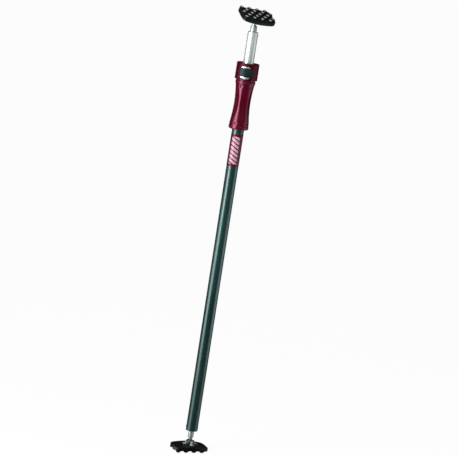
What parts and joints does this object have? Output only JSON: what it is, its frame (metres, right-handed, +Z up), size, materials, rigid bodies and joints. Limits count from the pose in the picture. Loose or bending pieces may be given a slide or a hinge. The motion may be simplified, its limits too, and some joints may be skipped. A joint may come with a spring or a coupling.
{
  "type": "telescopic drywall support pole",
  "caption": "Telescopic support pole: a plated tube slides in a painted one, with a push-button lock in the collar, a threaded twist grip for fine lift and swivelling studded end pads.",
  "frame": {"origin": "on the pole's axis, in the plane that the foot pad's studs stand on", "axes": "+Z up along the pole, +X along the pads' long side, -Y to the front, where the head pad leans; the collar's window faces 33 degrees from -Y towards -X"},
  "size_m": [0.0902, 0.0618, 1.1357],
  "materials": {
    "painted_tube": "semi-gloss dark slate grey paint",
    "zinc_tube": "bright zinc plate",
    "stem_steel": "bright zinc plate, lathe turned",
    "zinc_cast": "zinc die casting, bright plated",
    "steel": "plain steel, lightly oiled",
    "thread_steel": "rolled thread, oiled",
    "label_film": "printed film",
    "grip_plastic": "moulded, dark crimson",
    "button_plastic": "moulded, near black",
    "pad_plastic": "moulded, charcoal",
    "pad_rubber": "moulded black rubber",
    "inner_plastic": "moulded, dark grey",
    "slide_plastic": "natural acetal",
    "nut_brass": "machined"
  },
  "bodies": {
    "outer_pole": {"outer_tube": "painted_tube", "label_sleeve": "label_film", "threaded_sleeve": "thread_steel", "tube_guide_sleeve": "inner_plastic", "foot_plug": "inner_plastic", "foot_plug_rivets": "steel"},
    "collar": {"collar_housing": "grip_plastic", "collar_base": "zinc_cast", "guide_key": "steel", "spring_cup": "steel", "top_guide_bush": "inner_plastic", "fulcrum_pin": "steel", "lock_spring": "steel", "collar_screws": "steel"},
    "grip": {"grip": "grip_plastic", "grip_nut": "nut_brass", "grip_lower_ring": "inner_plastic", "grip_retaining_ring": "grip_plastic", "thrust_washer": "slide_plastic"},
    "release_button": {"release_button": "button_plastic"},
    "lock_plates": {"lower_lock_plate": "steel", "upper_lock_plate": "steel"},
    "inner_pole": {"inner_tube": "zinc_tube", "slider_bush": "slide_plastic", "head_plug": "inner_plastic", "head_plug_rivets": "steel"},
    "foot_stem": {"foot_stem": "stem_steel", "foot_ball": "inner_plastic", "foot_stem_clip": "steel"},
    "foot_cup": {"foot_cup": "inner_plastic"},
    "foot_pad": {"foot_plate": "pad_plastic", "foot_sole": "pad_rubber", "foot_retainers": "stem_steel", "foot_retainer_rivets": "steel"},
    "head_stem": {"head_stem": "stem_steel", "head_ball": "inner_plastic", "head_stem_clip": "steel"},
    "head_cup": {"head_cup": "inner_plastic"},
    "head_pad": {"head_plate": "pad_plastic", "head_sole": "pad_rubber", "head_retainers": "stem_steel", "head_retainer_rivets": "steel"}
  },
  "joints": [
    {"name": "fine_lift", "type": "slide", "parent": "outer_pole", "child": "collar", "axis": [0, 0, 1], "range_m": [-0.008, 0.024]},
    {"name": "grip_turn", "type": "hinge", "parent": "collar", "child": "grip", "pos_m": [0, 0, 0.89], "axis": [0, 0, 1], "range_deg": [-361, 1081]},
    {"name": "inner_slide", "type": "slide", "parent": "collar", "child": "inner_pole", "axis": [0, 0, 1], "range_m": [-0.06, 0.58]},
    {"name": "button_press", "type": "slide", "parent": "collar", "child": "release_button", "axis": [0.5446, 0.8387, 0], "range_m": [0, 0.004], "stiffness_N_per_m": 1500, "springref_m": -0.002},
    {"name": "lock_plate_tilt", "type": "hinge", "parent": "collar", "child": "lock_plates", "pos_m": [0.01035, 0.01594, 0.9743], "axis": [0.8387, -0.5446, 0], "range_deg": [-4.05, 0.05]},
    {"name": "foot_swivel", "type": "hinge", "parent": "outer_pole", "child": "foot_stem", "pos_m": [0, 0, 0.021], "axis": [0, 0, 1], "continuous": true},
    {"name": "foot_tilt_x", "type": "hinge", "parent": "foot_stem", "child": "foot_cup", "pos_m": [0, 0, 0.021], "axis": [1, 0, 0], "range_deg": [-27, 27]},
    {"name": "foot_tilt_y", "type": "hinge", "parent": "foot_cup", "child": "foot_pad", "pos_m": [0, 0, 0.021], "axis": [0, 1, 0], "range_deg": [-27, 27]},
    {"name": "head_swivel", "type": "hinge", "parent": "inner_pole", "child": "head_stem", "pos_m": [0, 0, 1.103], "axis": [0, 0, 1], "continuous": true},
    {"name": "head_tilt_x", "type": "hinge", "parent": "head_stem", "child": "head_cup", "pos_m": [0, 0, 1.103], "axis": [1, 0, 0], "range_deg": [-53.5, 0.5]},
    {"name": "head_tilt_y", "type": "hinge", "parent": "head_cup", "child": "head_pad", "pos_m": [0, 0, 1.103], "axis": [0, 0.8949, 0.4462], "range_deg": [-31, 23]}
  ],
  "couplings": [
    {"joint": "grip_turn", "follows": "fine_lift", "rad_per_m": 785.4},
    {"joint": "lock_plate_tilt", "follows": "button_press", "rad_per_m": -17.453}
  ]
}
